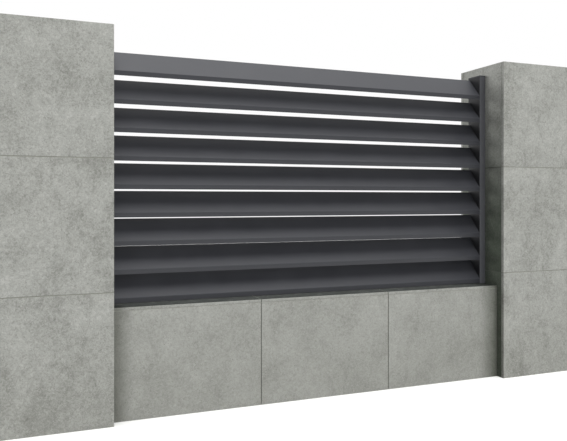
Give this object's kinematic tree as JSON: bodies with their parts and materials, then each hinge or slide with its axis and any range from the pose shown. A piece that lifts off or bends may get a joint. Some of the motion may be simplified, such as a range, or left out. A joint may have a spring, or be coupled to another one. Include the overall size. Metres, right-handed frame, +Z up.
{
  "type": "aluminium slat fence bay",
  "caption": "Fence bay: sloping powder-coated aluminium slats between slim posts, on a low slab-clad wall between slab-clad pillars.",
  "frame": {"origin": "ground level, in the middle of the bay and of the pillars' depth", "axes": "+X along the fence, to the right seen from the street; +Y through the fence, away from the street; +Z up"},
  "size_m": [3.36, 0.39, 1.8],
  "materials": {
    "masonry": "raw concrete and joint mortar, matt",
    "cladding_slab": "concrete-look slab, honed, cloudy grey with a fine speckle",
    "coping_slab": "concrete-look slab, honed, cloudy grey with a fine speckle",
    "coated_aluminium": "anthracite powder coat, fine texture, low sheen",
    "cap_plastic": "moulded anthracite plastic, matt"
  },
  "bodies": {
    "root": {"left_pillar_core": "masonry", "left_pillar_front_slabs": "cladding_slab", "left_pillar_back_slabs": "cladding_slab", "left_pillar_inner_slabs": "cladding_slab", "left_pillar_outer_slabs": "cladding_slab", "left_pillar_cap": "coping_slab", "left_post": "coated_aluminium", "left_post_cap": "cap_plastic", "right_pillar_core": "masonry", "right_pillar_front_slabs": "cladding_slab", "right_pillar_back_slabs": "cladding_slab", "right_pillar_inner_slabs": "cladding_slab", "right_pillar_outer_slabs": "cladding_slab", "right_pillar_cap": "coping_slab", "right_post": "coated_aluminium", "right_post_cap": "cap_plastic", "low_wall_core": "masonry", "low_wall_front_slabs": "cladding_slab", "low_wall_back_slabs": "cladding_slab", "low_wall_coping": "coping_slab", "slat_panel": "coated_aluminium"}
  },
  "joints": []
}
